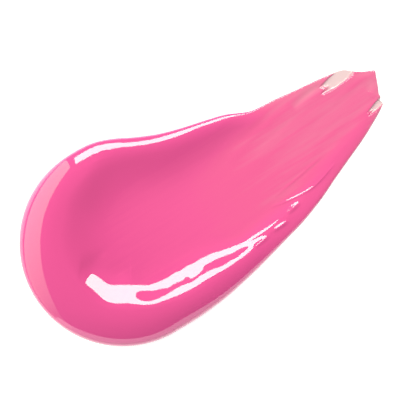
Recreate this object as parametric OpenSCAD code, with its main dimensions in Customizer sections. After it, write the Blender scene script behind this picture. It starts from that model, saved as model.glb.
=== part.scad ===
// A smear of lip gloss: a thick round head, drawn out along +X into a thin ragged tail.
// It is one body of gloss with a flat underside, a rim that stands up all round the head
// and a shallow trough down the middle, where the spatula passed.
// The origin is under the middle of its bounding box, on the surface that it lies on.

/* [Smear] */
// Length from the round head to the tip of the tail
smear_l = 45; // [30:1:60]
// Width across the head
smear_w = 22.8; // [16:0.2:32]
// Greatest thickness, at the crest of the rim
smear_t = 2.1; // [1.2:0.1:2.8]

/* [Surface] */
// Facets along each side
side_n = 46; // [24:2:60]
// Facets round the head
head_n = 40; // [24:2:48]
// Rings of facets from the edge to the spine
ring_n = 15; // [8:1:18]

/* [Hidden] */

// The outline and the sections below are drawn at these sizes, and scaled to the ones above.
drawn = [45, 22.8, 2.1];
to_size = [smear_l / drawn.x, smear_w / drawn.y, smear_t / drawn.z];

// The head is half a circle, and its centre is on the X axis.
head_r = 11.4;
head_x = -11.1;

// Knots of the two sides, and the corners of the torn end between them
upper_knots = [
    [22.5, 1.45], [21.2, 2.05], [20.2, 2.75], [19.5, 3.3], [18.3, 3.6], [16.5, 3.9], [14, 4.2],
    [11.5, 4.55], [9.3, 4.75], [8.3, 4.95], [7.3, 5.4], [5.8, 6.1], [3.5, 6.75], [1, 7.4],
    [-1.5, 8.2], [-3.8, 9.25], [-6, 10.4], [-8.3, 11.2], [head_x, head_r]
];
lower_knots = [
    [head_x, -head_r], [-8, -11.42], [-5, -11.2], [-2, -10.7], [1, -10.05], [4, -9.3], [7, -8.55],
    [10, -7.5], [12.5, -6.4], [15, -5.35], [17.5, -4.3], [19.2, -3.45], [20.5, -2.75], [21.3, -2.2]
];
end_corners = [
    [21.3, -2.2], [21.35, -1.95], [21.1, -1.75], [21.5, -1.4], [21.5, -1], [21.8, -0.4],
    [22, 0.1], [22.2, 0.6], [22.45, 1.2], [22.5, 1.45]
];
end_n = len(end_corners) - 1;

// The spine, where the two halves of the surface meet, lags behind the middle of the outline,
// so that each ray from the edge to the spine leaves the edge about square.
spine_lag = 2.4;
spine_end_gap = 1.8;

// Sections round the edge. The place is 0 at the tip, 1 and 2 at the head's two ends,
// 3 and 4 at the torn end. Each section has a steep foot at the edge, a shoulder that rounds
// off to a crest, and a fall to the floor of the trough.
// place, foot height, foot width, crest height, crest distance, fall's start, fall's length
sections = [
    [0.00, 0.20, 0.04, 0.24, 1.0, 1.0, 1.5],
    [0.20, 0.20, 0.04, 0.27, 1.2, 1.2, 2.5],
    [0.38, 0.21, 0.05, 0.27, 1.6, 0.6, 3.2],
    [0.43, 0.38, 0.06, 0.56, 1.7, 0.4, 3.2],
    [0.50, 0.55, 0.06, 0.89, 1.7, 0.6, 5.0],
    [0.57, 0.70, 0.07, 1.07, 2.0, 0.8, 6.2],
    [0.63, 0.80, 0.07, 1.23, 2.1, 0.9, 7.0],
    [0.71, 0.93, 0.08, 1.46, 2.3, 1.0, 8.2],
    [0.82, 1.07, 0.10, 1.70, 2.5, 1.2, 9.0],
    [0.87, 1.18, 0.08, 1.80, 3.2, 1.3, 9.4],
    [0.94, 1.10, 0.10, 1.95, 3.45, 2.0, 8.8],
    [1.00, 1.15, 0.10, 2.04, 3.45, 3.2, 7.9],
    [1.10, 0.75, 0.20, 2.04, 3.6, 3.6, 7.8],
    [1.20, 0.50, 0.24, 2.04, 4.0, 4.4, 7.5],
    [1.30, 0.38, 0.22, 2.04, 4.3, 4.6, 7.3],
    [1.40, 0.35, 0.15, 2.05, 4.6, 4.7, 6.8],
    [1.47, 0.42, 0.15, 2.05, 4.9, 4.9, 5.2],
    [1.52, 0.47, 0.15, 2.05, 5.0, 5.0, 3.7],
    [1.60, 0.58, 0.15, 2.05, 4.8, 4.8, 4.0],
    [1.65, 0.64, 0.15, 2.05, 4.5, 4.5, 4.7],
    [1.70, 0.70, 0.15, 2.05, 4.1, 4.1, 5.0],
    [1.78, 0.76, 0.14, 2.06, 4.0, 4.0, 5.2],
    [1.86, 0.80, 0.13, 2.08, 4.0, 4.0, 6.4],
    [1.93, 0.83, 0.13, 2.10, 3.8, 3.8, 5.1],
    [2.00, 0.86, 0.13, 2.10, 3.3, 3.3, 5.3],
    [2.06, 0.91, 0.13, 2.10, 2.8, 2.8, 6.7],
    [2.13, 0.93, 0.13, 2.00, 2.5, 2.5, 6.3],
    [2.20, 0.82, 0.13, 1.73, 2.4, 2.4, 6.2],
    [2.30, 0.62, 0.12, 1.24, 1.85, 1.85, 4.4],
    [2.35, 0.52, 0.12, 1.14, 1.6, 1.6, 3.1],
    [2.41, 0.44, 0.11, 0.80, 1.5, 1.8, 3.0],
    [2.55, 0.34, 0.10, 0.52, 1.4, 1.6, 3.0],
    [2.80, 0.26, 0.08, 0.36, 1.0, 1.2, 2.0],
    [3.00, 0.20, 0.07, 0.26, 0.7, 0.8, 1.5],
    [4.00, 0.20, 0.06, 0.24, 1.0, 1.0, 1.5]
];
blend_reach = 0.04;
shoulder_power = 2.2;

// The trough's floor drops from the head to the tail, steepest at floor_mid_x.
floor_tail_z = 0.24;
floor_drop = 1.35;
floor_mid_x = -12;
floor_spread = 5;

// The edge stands square for this height. The solid is drawn down to skirt_z and then cut level.
edge_h = 0.08;
skirt_z = -0.5;

// Points between two knots, and the power that crowds the rings towards the edge
knot_steps = 8;
ring_power = 1.6;

// A point of the Catmull-Rom curve between knots b and c, at t from 0 to 1
function catmull(a, b, c, d, t) =
    (2 * b + (c - a) * t + (2 * a - 5 * b + 4 * c - d) * t * t
        + (3 * b - a - 3 * c + d) * t * t * t) / 2;

// The knots with one more at each end, given or carried straight on
function extended(knots, before, after) = [before, each knots, after];
function straight_on(knots, i, j) = 2 * knots[i] - knots[j];

function curve_through(q) = [
    for (i = [1:len(q) - 3], k = [0:knot_steps - 1])
        catmull(q[i - 1], q[i], q[i + 1], q[i + 2], k / knot_steps),
    q[len(q) - 2]
];

// n + 1 points spread evenly by length along a curve
function lengths_along(curve) = [
    for (i = 0, run = 0; i < len(curve);
            i = i + 1, run = run + (i < len(curve) ? norm(curve[i] - curve[i - 1]) : 0)) run
];
function evenly(curve, n) =
    let (
        run = lengths_along(curve),
        total = run[len(run) - 1],
        xs = [for (i = [0:len(curve) - 1]) [run[i], curve[i].x]],
        ys = [for (i = [0:len(curve) - 1]) [run[i], curve[i].y]]
    )
    [for (k = [0:n]) [lookup(total * k / n, xs), lookup(total * k / n, ys)]];

// The two sides, each tangent to the head
tangent_run = 2.4;
tangent_drop = 0.25;
upper_side = evenly(curve_through(extended(
    upper_knots, straight_on(upper_knots, 0, 1),
    [head_x - tangent_run, head_r - tangent_drop])), side_n);
lower_side = evenly(curve_through(extended(
    lower_knots, [head_x - tangent_run, tangent_drop - head_r],
    straight_on(lower_knots, len(lower_knots) - 1, len(lower_knots) - 2))), side_n);
function head_point(u) = [head_x + head_r * cos(90 + 180 * u), head_r * sin(90 + 180 * u)];

spine = [
    for (i = [0:side_n])
        let (s = i / side_n)
        (upper_side[side_n - i] + lower_side[i]) / 2
            - [spine_lag * sin(180 * s) + spine_end_gap * pow(s, 4), 0]
];

// Each entry of the rim is a point of the outline, its place, and its spine point's number.
rim = [
    for (i = [0:side_n - 1]) [upper_side[i], i / side_n, side_n - i],
    for (i = [0:head_n - 1]) [head_point(i / head_n), 1 + i / head_n, 0],
    for (i = [0:side_n - 1]) [lower_side[i], 2 + i / side_n, i],
    for (i = [0:end_n - 1]) [end_corners[i], 3 + i / end_n, side_n]
];
rim_n = len(rim);

// One column of the sections at a place, averaged over its neighbourhood
function column(place, k) = lookup(place, [for (s = sections) [s[0], s[k]]]);
function blended(place, k) =
    (column(place - blend_reach, k) + column(place, k) + column(place + blend_reach, k)) / 3;

function clipped(u) = min(max(u, 0), 1);

// 0 to 1, fast at first and level at the end
function rounded_off(u) = 1 - pow(1 - clipped(u), shoulder_power);

// 0 to 1 with level ends, steepest a quarter of the way along
function fallen(u) = 1 - pow(1 - clipped(u), 4) * (1 + 4 * clipped(u));

function floor_z(x) = floor_tail_z + floor_drop / (1 + exp((x - floor_mid_x) / floor_spread));

// Height of the surface at distance r in from the edge
function rise(place, r, x) =
    let (
        foot = blended(place, 1) - edge_h,
        foot_w = blended(place, 2),
        crest = blended(place, 3) - edge_h,
        crest_r = blended(place, 4),
        fall_r = blended(place, 5),
        fall_l = blended(place, 6),
        below_crest = crest + edge_h - floor_z(x)
    )
    edge_h + foot * (1 - exp(-r / foot_w)) + (crest - foot) * rounded_off(r / crest_r)
        - below_crest * fallen((r - fall_r) / fall_l);

function sized(p) = [p.x * to_size.x, p.y * to_size.y, p.z * to_size.z];
function surface_point(entry, k) =
    let (
        edge = entry[0],
        inward = spine[entry[2]] - edge,
        share = pow(k / ring_n, ring_power),
        q = edge + inward * share
    )
    sized([q.x, q.y, rise(entry[1], norm(inward) * share, q.x)]);

// Ring 0 is the foot of the skirt, and rings 1 to ring_n run from the edge to the spine.
// Then come the spine's points on the surface, and the same points at the skirt's foot.
points = [
    for (entry = rim) sized([entry[0].x, entry[0].y, skirt_z]),
    for (k = [0:ring_n - 1], entry = rim) surface_point(entry, k),
    for (q = spine) sized([q.x, q.y, floor_z(q.x)]),
    for (q = spine) sized([q.x, q.y, skirt_z])
];
last_ring = ring_n + 1;
function on_spine(i, level) = last_ring * rim_n + level * (side_n + 1) + rim[i % rim_n][2];
function on_ring(k, i) = k == last_ring ? on_spine(i, 0) : k * rim_n + i % rim_n;

// Faces run clockwise as seen from outside, and the rim runs anticlockwise from above.
// A face whose two spine points are the same point is left with three corners.
function band(a, b, c, d) = c == d ? [[a, c, b]] : [[a, c, b], [a, d, c]];
upper_faces = [
    for (k = [0:ring_n], i = [0:rim_n - 1])
        each band(on_ring(k, i), on_ring(k, i + 1), on_ring(k + 1, i + 1), on_ring(k + 1, i))
];
foot_faces = [
    for (i = [0:rim_n - 1])
        each band(on_ring(0, i + 1), on_ring(0, i), on_spine(i, 1), on_spine(i + 1, 1))
];

module gloss_smear() {
    color("hotpink")
        difference() {
            polyhedron(points, [each upper_faces, each foot_faces], convexity = 6);
            translate([-smear_l, -smear_w, 2 * skirt_z]) cube([2 * smear_l, 2 * smear_w, -2 * skirt_z]);
        }
}

gloss_smear();
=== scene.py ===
"""A smear of pink lip gloss on a white surface, seen from straight above."""

import math

import bpy
import numpy as np
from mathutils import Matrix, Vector


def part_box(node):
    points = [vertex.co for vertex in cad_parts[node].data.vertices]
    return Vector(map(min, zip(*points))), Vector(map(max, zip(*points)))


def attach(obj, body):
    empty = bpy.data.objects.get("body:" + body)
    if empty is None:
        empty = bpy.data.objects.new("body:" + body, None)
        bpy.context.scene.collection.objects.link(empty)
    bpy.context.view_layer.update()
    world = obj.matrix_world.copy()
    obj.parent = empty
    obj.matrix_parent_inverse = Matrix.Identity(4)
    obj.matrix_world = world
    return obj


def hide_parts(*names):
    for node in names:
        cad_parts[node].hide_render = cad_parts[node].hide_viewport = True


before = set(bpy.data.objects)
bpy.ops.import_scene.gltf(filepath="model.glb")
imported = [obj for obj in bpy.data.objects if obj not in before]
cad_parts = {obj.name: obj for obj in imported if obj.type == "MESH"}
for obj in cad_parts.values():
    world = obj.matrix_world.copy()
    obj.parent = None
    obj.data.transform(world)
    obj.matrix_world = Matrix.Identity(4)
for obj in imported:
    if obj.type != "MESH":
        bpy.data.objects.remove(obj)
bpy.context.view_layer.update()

MM = 0.001

# The knots, sections and places below are in millimetres, for a smear of this size.
DRAWN = np.array([45.0, 22.8, 2.1])

# ---------------------------------------------------------------- outline

# The head is half a circle, and its centre is on the X axis.
HEAD_R = 11.4
HEAD_X = -11.1

UPPER_KNOTS = [
    (22.5, 1.45), (21.2, 2.05), (20.2, 2.75), (19.5, 3.3), (18.3, 3.6), (16.5, 3.9), (14, 4.2),
    (11.5, 4.55), (9.3, 4.75), (8.3, 4.95), (7.3, 5.4), (5.8, 6.1), (3.5, 6.75), (1, 7.4),
    (-1.5, 8.2), (-3.8, 9.25), (-6, 10.4), (-8.3, 11.2), (HEAD_X, HEAD_R),
]
LOWER_KNOTS = [
    (HEAD_X, -HEAD_R), (-8, -11.42), (-5, -11.2), (-2, -10.7), (1, -10.05), (4, -9.3), (7, -8.55),
    (10, -7.5), (12.5, -6.4), (15, -5.35), (17.5, -4.3), (19.2, -3.45), (20.5, -2.75), (21.3, -2.2),
]
END_CORNERS = [
    (21.3, -2.2), (21.35, -1.95), (21.1, -1.75), (21.5, -1.4), (21.5, -1), (21.8, -0.4),
    (22, 0.1), (22.2, 0.6), (22.45, 1.2), (22.5, 1.45),
]
# How many points each side, the head and the torn end have
SIDE_N = 260
HEAD_N = 250
END_N = 40
# How many rings run from the edge to the spine, closer together near the edge
RING_N = 110
RING_POWER = 1.7
KNOT_STEPS = 40
# One more knot at the head's end of each side keeps the side tangent to the head.
TANGENT_RUN = 2.4
TANGENT_DROP = 0.25
# The spine lags behind the middle of the outline, so that rays leave the edge about square.
SPINE_LAG = 2.4
SPINE_END_GAP = 1.8


def evenly(curve, n):
    """n + 1 points spread evenly by length along a curve."""
    run = np.r_[0, np.cumsum(np.hypot(*np.diff(curve, axis=0).T))]
    wanted = np.linspace(0, run[-1], n + 1)
    return np.stack([np.interp(wanted, run, curve[:, k]) for k in (0, 1)], axis=1)


def catmull(knots, n, before=None, after=None):
    """n + 1 even points along the Catmull-Rom curve through the knots."""
    knots = np.array(knots, float)
    before = 2 * knots[0] - knots[1] if before is None else np.array(before)
    after = 2 * knots[-1] - knots[-2] if after is None else np.array(after)
    q = np.vstack([before, knots, after])
    t = np.linspace(0, 1, KNOT_STEPS + 1)[:-1, None]
    pieces = []
    for a, b, c, d in zip(q, q[1:], q[2:], q[3:]):
        cubic = (3 * b - a - 3 * c + d) * t**3
        square = (2 * a - 5 * b + 4 * c - d) * t**2
        pieces.append((2 * b + (c - a) * t + square + cubic) / 2)
    pieces.append(knots[-1:])
    return evenly(np.vstack(pieces), n)


def make_rim():
    """The outline anticlockwise from the tip, each point's place, and its spine point's number."""
    turn_in = (HEAD_X - TANGENT_RUN, HEAD_R - TANGENT_DROP)
    upper = catmull(UPPER_KNOTS, SIDE_N, after=turn_in)
    lower = catmull(LOWER_KNOTS, SIDE_N, before=(turn_in[0], -turn_in[1]))
    angle = np.radians(np.linspace(90, 270, HEAD_N + 1))
    head = np.stack([HEAD_X + HEAD_R * np.cos(angle), HEAD_R * np.sin(angle)], axis=1)
    end = evenly(np.array(END_CORNERS, float), END_N)
    outline = np.vstack([part[:-1] for part in (upper, head, lower, end)])
    counts = (SIDE_N, HEAD_N, SIDE_N, END_N)
    place = np.concatenate([k + np.arange(n) / n for k, n in enumerate(counts)])
    s = np.linspace(0, 1, SIDE_N + 1)
    lag = SPINE_LAG * np.sin(np.pi * s) + SPINE_END_GAP * s**4
    spine = (upper[::-1] + lower) / 2 - np.stack([lag, 0 * lag], axis=1)
    number = np.concatenate([
        SIDE_N - np.arange(SIDE_N), np.zeros(HEAD_N, int),
        np.arange(SIDE_N), np.full(END_N, SIDE_N),
    ])
    return outline, place, spine, number


# ---------------------------------------------------------------- surface

# Sections round the edge. The place is 0 at the tip, 1 and 2 at the head's two ends,
# 3 and 4 at the torn end. Each has a steep foot at the edge, a shoulder that rounds off to
# a crest, and a fall to the floor of the trough.
# place, foot height, foot width, crest height, crest distance, fall's start, fall's length
SECTIONS = np.array([
    [0.00, 0.20, 0.04, 0.24, 1.0, 1.0, 1.5],
    [0.20, 0.20, 0.04, 0.27, 1.2, 1.2, 2.5],
    [0.38, 0.21, 0.05, 0.27, 1.6, 0.6, 3.2],
    [0.43, 0.38, 0.06, 0.56, 1.7, 0.4, 3.2],
    [0.50, 0.55, 0.06, 0.89, 1.7, 0.6, 5.0],
    [0.57, 0.70, 0.07, 1.07, 2.0, 0.8, 6.2],
    [0.63, 0.80, 0.07, 1.23, 2.1, 0.9, 7.0],
    [0.71, 0.93, 0.08, 1.46, 2.3, 1.0, 8.2],
    [0.82, 1.07, 0.10, 1.70, 2.5, 1.2, 9.0],
    [0.87, 1.18, 0.08, 1.80, 3.2, 1.3, 9.4],
    [0.94, 1.10, 0.10, 1.95, 3.45, 2.0, 8.8],
    [1.00, 1.15, 0.10, 2.04, 3.45, 3.2, 7.9],
    [1.10, 0.75, 0.20, 2.04, 3.6, 3.6, 7.8],
    [1.20, 0.50, 0.24, 2.04, 4.0, 4.4, 7.5],
    [1.30, 0.38, 0.22, 2.04, 4.3, 4.6, 7.3],
    [1.40, 0.35, 0.15, 2.05, 4.6, 4.7, 6.8],
    [1.47, 0.42, 0.15, 2.05, 4.9, 4.9, 5.2],
    [1.52, 0.47, 0.15, 2.05, 5.0, 5.0, 3.7],
    [1.60, 0.58, 0.15, 2.05, 4.8, 4.8, 4.0],
    [1.65, 0.64, 0.15, 2.05, 4.5, 4.5, 4.7],
    [1.70, 0.70, 0.15, 2.05, 4.1, 4.1, 5.0],
    [1.78, 0.76, 0.14, 2.06, 4.0, 4.0, 5.2],
    [1.86, 0.80, 0.13, 2.08, 4.0, 4.0, 6.4],
    [1.93, 0.83, 0.13, 2.10, 3.8, 3.8, 5.1],
    [2.00, 0.86, 0.13, 2.10, 3.3, 3.3, 5.3],
    [2.06, 0.91, 0.13, 2.10, 2.8, 2.8, 6.7],
    [2.13, 0.93, 0.13, 2.00, 2.5, 2.5, 6.3],
    [2.20, 0.82, 0.13, 1.73, 2.4, 2.4, 6.2],
    [2.30, 0.62, 0.12, 1.24, 1.85, 1.85, 4.4],
    [2.35, 0.52, 0.12, 1.14, 1.6, 1.6, 3.1],
    [2.41, 0.44, 0.11, 0.80, 1.5, 1.8, 3.0],
    [2.55, 0.34, 0.10, 0.52, 1.4, 1.6, 3.0],
    [2.80, 0.26, 0.08, 0.36, 1.0, 1.2, 2.0],
    [3.00, 0.20, 0.07, 0.26, 0.7, 0.8, 1.5],
    [4.00, 0.20, 0.06, 0.24, 1.0, 1.0, 1.5],
])
SECTION_BLUR = 8
SHOULDER_POWER = 2.2

# The trough's floor drops from the head to the tail, steepest at FLOOR_MID_X.
FLOOR_TAIL_Z = 0.24
FLOOR_DROP = 1.35
FLOOR_MID_X = -12.0
FLOOR_SPREAD = 5.0


def fallen(u):
    """0 to 1 with level ends, steepest a quarter of the way along."""
    v = np.clip(u, 0, 1)
    return 1 - (1 - v) ** 4 * (1 + 4 * v)


def rounded_off(u):
    """0 to 1, fast at first and level at the end."""
    return 1 - (1 - np.clip(u, 0, 1)) ** SHOULDER_POWER


def blurred(column):
    """A moving average round the loop, three times over."""
    kernel = np.ones(2 * SECTION_BLUR + 1) / (2 * SECTION_BLUR + 1)
    for _ in range(3):
        wrapped = np.r_[column[-SECTION_BLUR:], column, column[:SECTION_BLUR]]
        column = np.convolve(wrapped, kernel, "valid")
    return column


def floor_z(x):
    """Height of the trough's floor."""
    return FLOOR_TAIL_Z + FLOOR_DROP / (1 + np.exp((x - FLOOR_MID_X) / FLOOR_SPREAD))


def base_height(place, r, x):
    """Height at distance r in from the edge. place runs along the loop, r and x along both."""
    columns = [blurred(np.interp(place, SECTIONS[:, 0], SECTIONS[:, k]))[:, None] for k in range(1, 7)]
    foot, foot_w, crest, crest_r, fall_r, fall_l = columns
    rim = foot * (1 - np.exp(-r / foot_w)) + (crest - foot) * rounded_off(r / crest_r)
    return rim - (crest - floor_z(x)) * fallen((r - fall_r) / fall_l)


# Fine streaks that the spatula left, running nearly along the stroke. Each layer fades in
# along X: length, width, height, where it starts, where it is full, seed
STREAK_LAYERS = [
    (9.0, 1.3, 0.025, -2, 8, 3),
    (5.0, 0.5, 0.012, 2, 12, 4),
    (0.8, 0.4, 0.0035, -11, -8, 5),
]
STREAK_ANGLE = math.radians(8)
# The streaks rise over these distances in from the edge.
STREAK_FREE_R = 0.2
STREAK_FULL_R = 1.0

# Low relief, which shapes and breaks up the reflections. A groove's height is negative.
# knots, width, height
RIDGES = [
    ([(0.6, -7.15), (3.2, -7.15), (5.6, -6.85)], 0.10, 0.022),
    # Soft grooves that widen and split the lower highlight
    ([(-16.4, 0.2), (-14.2, -1.8), (-12, -3.2)], 1.2, -0.12),
    ([(-11.6, -4.2), (-9.6, -6.2), (-7.6, -7.4)], 1.4, -0.03),
    # Short ticks beside its right-hand end
    ([(0.9, -8.05), (2.9, -7.85)], 0.2, 0.075),
    ([(3.6, -7.65), (5.6, -7.55)], 0.2, 0.105),
    ([(6.0, -6.8), (7.7, -6.5)], 0.24, 0.11),
    # Hairlines near the tail's lower edge
    ([(4.8, -5.3), (7.3, -5.75), (10, -5.85), (13.4, -4.9)], 0.11, 0.06),
    ([(5.8, -4.6), (12.6, -3.5)], 0.13, 0.03),
    # Soft waves on the tail
    ([(3.3, 1.4), (9.4, 2.6), (15.1, 3.2)], 0.45, 0.03),
    ([(12.6, 2.8), (14.9, 3.1), (16.9, 3.0)], 0.45, -0.11),
    ([(20.6, -0.2), (21.8, 0.6)], 0.5, -0.05),
    # A faint line along the head's crest, and one beside the larger scraped patch
    ([(-12.1, 9.2), (-10.3, 9.2), (-8.5, 9.0), (-6.8, 8.5)], 0.2, 0.012),
    ([(20.2, 2.5), (21.2, 2.05), (22.2, 1.6)], 0.14, 0.05),
]
RIDGE_PIECES = 12

# Places where the film is scraped thin: centre, half length, half width, turn in degrees
THIN_PATCHES = [
    ((18.6, 2.8), 1.9, 0.7, 6),
    ((20.75, -1.93), 1.2, 0.34, 15),
]
THIN_Z = 0.04
# How far out a patch is fully scraped, and where it ends. Its mean rim is near 1.
PATCH_RIM = (0.5, 1.6)
RAGGEDNESS = 0.45
RAGGED_SEED = 6
# Cells of raggedness along half of a patch's length and half of its width
RAGGED_CELLS = (1.5, 3)

# The noise is a square grid of values, read from these places on.
NOISE_N = 128
STREAK_START = (20, 40)
RAGGED_START = (30, 30)


def noise(x, y, seed):
    """Smooth noise between -1 and 1 with cells of size 1."""
    grid = np.random.default_rng(seed).uniform(-1, 1, (NOISE_N, NOISE_N))
    left, low = np.floor(x).astype(int), np.floor(y).astype(int)
    u, v = x - left, y - low
    u, v = u * u * (3 - 2 * u), v * v * (3 - 2 * v)
    value = 0
    for i, share_x in ((0, 1 - u), (1, u)):
        for j, share_y in ((0, 1 - v), (1, v)):
            corner = grid[(left + i) % NOISE_N, (low + j) % NOISE_N]
            value = value + share_x * share_y * corner
    return value


def smooth_between(value, start, end):
    """0 up to start and 1 from end on, with a smooth rise between them."""
    v = np.clip((value - start) / (end - start), 0, 1)
    return v * v * (3 - 2 * v)


def streaks(x, y, r):
    """Height of the streaks at distance r in from the edge."""
    c, s = math.cos(STREAK_ANGLE), math.sin(STREAK_ANGLE)
    along, across = x * c + y * s, y * c - x * s
    height = 0
    for length, width, size, start_x, full_x, seed in STREAK_LAYERS:
        layer = noise(along / length + STREAK_START[0], across / width + STREAK_START[1], seed)
        height = height + size * layer * smooth_between(x, start_x, full_x)
    return height * smooth_between(r, STREAK_FREE_R, STREAK_FULL_R)


def ridge(x, y, knots, width, height):
    """A ridge along the curve through the knots, tapering to its two ends."""
    curve = catmull(knots, RIDGE_PIECES)
    off, along = np.full(x.shape, np.inf), np.zeros(x.shape)
    for k, (a, b) in enumerate(zip(curve, curve[1:])):
        run = b - a
        t = np.clip(((x - a[0]) * run[0] + (y - a[1]) * run[1]) / (run @ run), 0, 1)
        gap = np.hypot(x - a[0] - t * run[0], y - a[1] - t * run[1])
        nearer = gap < off
        off = np.where(nearer, gap, off)
        along = np.where(nearer, (k + t) / RIDGE_PIECES, along)
    taper = np.sqrt(np.clip(4 * along * (1 - along), 0, 1))
    return height * taper * np.exp(-((off / width) ** 2))


def thinness(x, y, centre, half_length, half_width, turn):
    """1 inside a scraped patch and 0 outside it, with a ragged rim."""
    c, s = math.cos(math.radians(turn)), math.sin(math.radians(turn))
    along = ((x - centre[0]) * c + (y - centre[1]) * s) / half_length
    across = ((y - centre[1]) * c - (x - centre[0]) * s) / half_width
    u = along * RAGGED_CELLS[0] + RAGGED_START[0]
    v = across * RAGGED_CELLS[1] + RAGGED_START[1]
    ragged = RAGGEDNESS * noise(u, v, RAGGED_SEED)
    return 1 - smooth_between(along**2 + across**4 + ragged, *PATCH_RIM)


def make_surface():
    """Places (loop, ring, xy) from the edge to the spine, their heights, and each ray's spine
    point's number, in millimetres."""
    outline, place, spine, number = make_rim()
    share = (np.arange(RING_N + 1) / RING_N) ** RING_POWER
    inward = spine[number] - outline
    xy = outline[:, None] + inward[:, None] * share[None, :, None]
    r = np.hypot(*inward.T)[:, None] * share[None]
    x, y = xy[..., 0], xy[..., 1]
    z = base_height(place, r, x) + streaks(x, y, r)
    for line in RIDGES:
        z += ridge(x, y, *line)
    for patch in THIN_PATCHES:
        scraped = thinness(x, y, *patch)
        z += (np.minimum(z, THIN_Z) - z) * scraped
    return xy, np.maximum(z, np.minimum(r, THIN_Z)), number


# ---------------------------------------------------------------- mesh


def corners(*numbers):
    """A face with a repeated corner left out."""
    return [int(n) for k, n in enumerate(numbers) if n != numbers[k - 1]]


def smear_mesh():
    """The surface, its flat underside and the faces between them, at the frame's size."""
    xy, z, number = make_surface()
    rim_n = len(xy)
    spine_n = SIDE_N + 1
    low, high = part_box("gloss_smear")
    to_size = np.array(high - low) / DRAWN
    rings = [np.column_stack([xy[:, k], z[:, k]]) for k in range(RING_N)]
    spine_top = np.zeros((spine_n, 3))
    spine_top[number, :2] = xy[:, RING_N]
    spine_top[number, 2] = z[:, RING_N]
    spine_foot = spine_top * (1, 1, 0)
    points = np.vstack(rings + [spine_top, spine_foot]) * to_size
    quads = []
    here = np.arange(rim_n)
    after = (here + 1) % rim_n
    for k in range(RING_N - 1):
        a, b = k * rim_n + here, k * rim_n + after
        quads += np.stack([a, b, b + rim_n, a + rim_n], axis=1).tolist()
    top, foot = RING_N * rim_n + number, RING_N * rim_n + spine_n + number
    last = (RING_N - 1) * rim_n
    for i, j in zip(here, after):
        quads.append(corners(last + i, last + j, top[j], top[i]))
        quads.append(corners(j, i, foot[i], foot[j]))
    mesh = bpy.data.meshes.new("gloss_smear_skin")
    mesh.from_pydata(points.tolist(), [], quads)
    mesh.validate()
    for polygon in mesh.polygons:
        polygon.use_smooth = polygon.normal.z > 0
    return mesh


# ---------------------------------------------------------------- material


# Shares of the full thickness, and the colour of the film there
SHADES = [
    (0.0, (0.90, 0.62, 0.74)),
    (0.022, (0.96, 0.68, 0.80)),
    (0.05, (0.92, 0.32, 0.50)),
    (0.14, (1.0, 0.127, 0.395)),
    (0.20, (1.0, 0.11, 0.405)),
    (0.45, (0.91, 0.086, 0.37)),
    (1.0, (0.90, 0.086, 0.365)),
]
# The streaks multiply the thickness that the colour is taken from by between these two.
STREAK_SHARES = (0.8, 1.2)
# The gloss's roughness varies between these two, under a smoother coat.
WETNESS = (0.01, 0.04)
COAT_ROUGHNESS = 0.012
GLOSS_IOR = 1.47
# Sizes of the noise's grains along and across the stroke
STREAK_GRAIN = (6 * MM, 0.4 * MM)
WET_GRAIN = (2.5 * MM, 1.2 * MM)


def add_noise(nodes, links, place, grain, detail):
    """Noise drawn out along the stroke."""
    along, across = grain
    mapping = nodes.new("ShaderNodeMapping")
    mapping.inputs["Rotation"].default_value = (0, 0, -STREAK_ANGLE)
    mapping.inputs["Scale"].default_value = (1 / along, 1 / across, 1 / across)
    links.new(place, mapping.inputs["Vector"])
    texture = nodes.new("ShaderNodeTexNoise")
    texture.inputs["Scale"].default_value = 1
    texture.inputs["Detail"].default_value = detail
    links.new(mapping.outputs["Vector"], texture.inputs["Vector"])
    return texture.outputs["Fac"]


def add_range(nodes, links, value, full, start, end):
    """Takes a value from between 0 and full to between start and end."""
    node = nodes.new("ShaderNodeMapRange")
    node.inputs["From Max"].default_value = full
    node.inputs["To Min"].default_value = start
    node.inputs["To Max"].default_value = end
    links.new(value, node.inputs["Value"])
    return node.outputs["Result"]


def add_shades(nodes, links, value):
    """The colour for a share of the full thickness."""
    ramp = nodes.new("ShaderNodeValToRGB")
    elements = ramp.color_ramp.elements
    while len(elements) < len(SHADES):
        elements.new(0.5)
    for element, (at, colour) in zip(elements, SHADES):
        element.position = at
        element.color = (*colour, 1)
    links.new(value, ramp.inputs["Fac"])
    return ramp.outputs["Color"]


def gloss_material():
    """Glossy pink that pales where the film is thin, with the spatula's faint streaks in it."""
    material = bpy.data.materials.new("lip_gloss")
    material.use_nodes = True
    nodes, links = material.node_tree.nodes, material.node_tree.links
    shader = nodes["Principled BSDF"]
    shader.inputs["IOR"].default_value = GLOSS_IOR
    shader.inputs["Coat Weight"].default_value = 1
    shader.inputs["Coat Roughness"].default_value = COAT_ROUGHNESS
    place = nodes.new("ShaderNodeTexCoord").outputs["Object"]
    split = nodes.new("ShaderNodeSeparateXYZ")
    links.new(place, split.inputs[0])
    thickness = add_range(nodes, links, split.outputs["Z"], DRAWN[2] * MM, 0, 1)
    streaky = add_noise(nodes, links, place, STREAK_GRAIN, detail=3)
    shade = nodes.new("ShaderNodeMath")
    shade.operation = "MULTIPLY"
    links.new(thickness, shade.inputs[0])
    links.new(add_range(nodes, links, streaky, 1, *STREAK_SHARES), shade.inputs[1])
    links.new(add_shades(nodes, links, shade.outputs["Value"]), shader.inputs["Base Color"])
    wet = add_noise(nodes, links, place, WET_GRAIN, detail=4)
    links.new(add_range(nodes, links, wet, 1, *WETNESS), shader.inputs["Roughness"])
    return material


# ---------------------------------------------------------------- studio

# The camera looks straight down, and the stroke runs up to the right in its view.
VIEW_TURN = math.radians(-32)
VIEW_CENTRE = (-1.4 * MM, -0.5 * MM)
VIEW_WIDTH = 44 * MM
CAMERA_HEIGHT = 0.25
SENSOR = 36

# The share of its width over which a panel fades
FADE_RUN = 0.6
WORLD_LIGHT = 0.25
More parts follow.
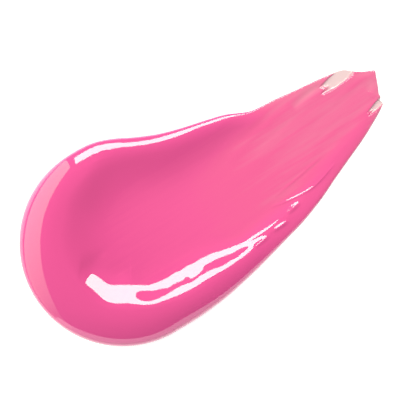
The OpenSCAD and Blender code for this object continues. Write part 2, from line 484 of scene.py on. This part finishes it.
# The white surface reflects and also glows, so that it stays white in a dim room.
FLOOR_SIDE = 6
FLOOR_REFLECTS = 0.85
FLOOR_GLOWS = 0.7


def from_view(right, up, height):
    """A point given as the view shows it: right, up and above the surface."""
    c, s = math.cos(VIEW_TURN), math.sin(VIEW_TURN)
    return Vector((right * c - up * s, right * s + up * c, height))


def add_camera():
    data = bpy.data.cameras.new("camera")
    data.sensor_width = SENSOR
    data.lens = SENSOR * CAMERA_HEIGHT / VIEW_WIDTH
    data.clip_start = 0.01
    camera = bpy.data.objects.new("camera", data)
    camera.location = (*VIEW_CENTRE, CAMERA_HEIGHT)
    camera.rotation_euler = (0, 0, VIEW_TURN)
    bpy.context.collection.objects.link(camera)
    bpy.context.scene.camera = camera


def add_panel(name, facing, reach, heights, distance, radiance, fade=1.0, tint=(1, 1, 1)):
    """An upright flat light, at a distance and between two heights in metres. facing is the
    direction that it stands in, and reach the two directions where it ends, in degrees
    anticlockwise from the view's right. The radiance falls to fade times as much towards the
    second end."""
    first, second = [distance * math.tan(math.radians(end - facing)) for end in reach]
    low, high = heights
    data = bpy.data.lights.new(name, "AREA")
    data.shape = "RECTANGLE"
    data.size, data.size_y = abs(second - first), high - low
    data.energy = radiance * math.pi * data.size * data.size_y
    data.color = tint
    angle = math.radians(facing)
    out = Vector((math.cos(angle), math.sin(angle)))
    along = Vector((-out.y, out.x))
    at = out * distance + along * (first + second) / 2
    light = bpy.data.objects.new(name, data)
    light.location = from_view(at.x, at.y, (low + high) / 2)
    light.rotation_euler = from_view(-out.x, -out.y, 0).to_track_quat("-Z", "Y").to_euler()
    light.visible_camera = False
    bpy.context.collection.objects.link(light)
    if fade != 1:
        add_fade(data, fade)
    return light


def add_fade(data, fade):
    """Makes a panel fade from its first end."""
    data.use_nodes = True
    nodes, links = data.node_tree.nodes, data.node_tree.links
    where = nodes.new("ShaderNodeNewGeometry")
    split = nodes.new("ShaderNodeSeparateXYZ")
    links.new(where.outputs["Parametric"], split.inputs[0])
    strength = add_range(nodes, links, split.outputs["X"], FADE_RUN, 1, fade)
    links.new(strength, nodes["Emission"].inputs["Strength"])


def add_floor():
    material = bpy.data.materials.new("white_surface")
    material.use_nodes = True
    shader = material.node_tree.nodes["Principled BSDF"]
    shader.inputs["Base Color"].default_value = (FLOOR_REFLECTS, FLOOR_REFLECTS, FLOOR_REFLECTS, 1)
    shader.inputs["Roughness"].default_value = 0.9
    shader.inputs["Emission Color"].default_value = (1, 1, 1, 1)
    shader.inputs["Emission Strength"].default_value = FLOOR_GLOWS
    bpy.ops.mesh.primitive_plane_add(size=FLOOR_SIDE)
    floor = bpy.context.object
    floor.name = "white_floor"
    floor.data.materials.append(material)


def add_world():
    world = bpy.data.worlds.new("studio")
    bpy.context.scene.world = world
    world.use_nodes = True
    background = world.node_tree.nodes["Background"]
    background.inputs["Color"].default_value = (1, 1, 1, 1)
    background.inputs["Strength"].default_value = WORLD_LIGHT


# ---------------------------------------------------------------- scene

add_camera()
smear = bpy.data.objects.new("smear", smear_mesh())
bpy.context.collection.objects.link(smear)
smear.data.materials.append(gloss_material())
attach(smear, "root")
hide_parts("gloss_smear")

add_floor()
add_world()
# The key light is a wide softbox behind the smear. A dimmer panel at its left gives the head's
# rim its pale band. A low panel in front shows only as a faint sheen along the near edge.
add_panel(
    "key_softbox", facing=90, reach=(42, 126), heights=(0.5, 0.806), distance=0.5,
    radiance=10.2, tint=(1, 0.98, 0.8),
)
add_panel(
    "side_panel", facing=160, reach=(132, 235), heights=(0.09, 0.667), distance=0.5,
    radiance=3.1, fade=0.15, tint=(0.76, 0.98, 0.64),
)
low_panel = add_panel(
    "low_panel", facing=270, reach=(225, 325), heights=(0.01, 0.29), distance=0.5,
    radiance=1.5,
)
low_panel.visible_diffuse = False
bpy.context.scene.view_settings.view_transform = "Standard"
